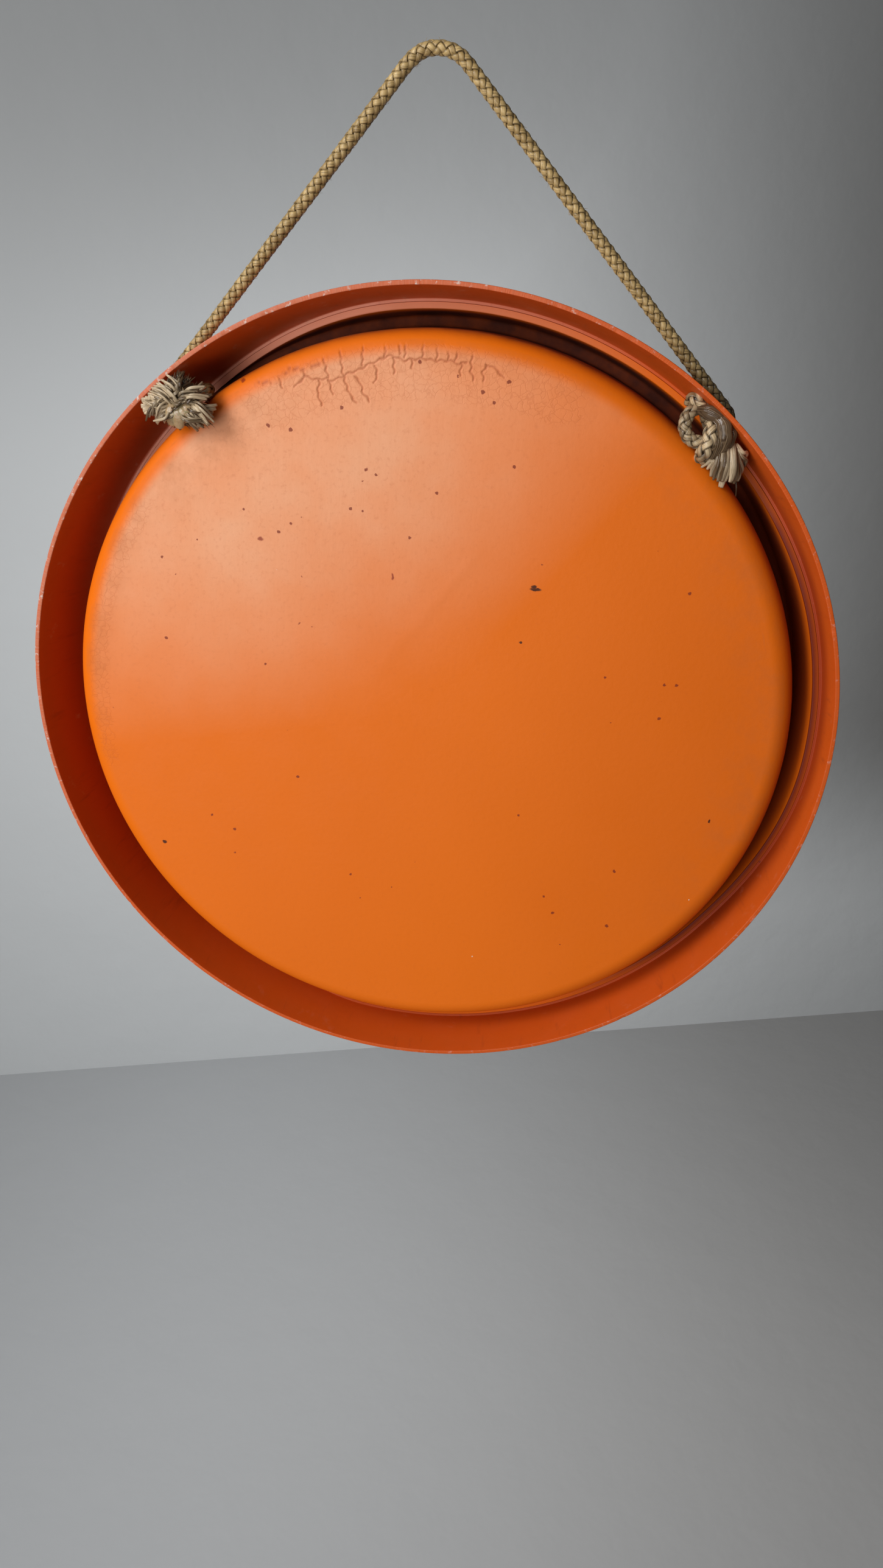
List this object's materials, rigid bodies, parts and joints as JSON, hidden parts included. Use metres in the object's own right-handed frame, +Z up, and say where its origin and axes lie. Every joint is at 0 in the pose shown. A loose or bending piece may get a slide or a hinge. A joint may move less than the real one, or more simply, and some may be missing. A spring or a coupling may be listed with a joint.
{
  "type": "flying disc",
  "caption": "Deep-skirted plastic throwing disc with a raised inner pan, hung by a knotted cord loop through two holes low in its skirt.",
  "frame": {"origin": "underside of the bend at the top of the cord loop, where a hand or a hook holds it up", "axes": "+Z up, -Y is the disc's open side towards the viewer, +Y its closed back, +X to the right as seen from the open side"},
  "size_m": [0.2728, 0.0507, 0.3333],
  "materials": {
    "shell_plastic": "satin",
    "liner_plastic": "satin",
    "cord": "satin",
    "frayed_strands": "satin"
  },
  "bodies": {
    "cord_loop": {"carry_cord": "cord"},
    "disc": {"outer_shell": "shell_plastic", "inner_liner": "liner_plastic", "left_knot": "cord", "right_knot": "cord", "left_frayed_end": "frayed_strands", "right_frayed_end": "frayed_strands"}
  },
  "joints": [
    {"name": "disc_swing", "type": "hinge", "parent": "cord_loop", "child": "disc", "pos_m": [0.00385, 0, -0.08595], "axis": [0.9992, 0, -0.0397], "range_deg": [-35, 60]}
  ]
}
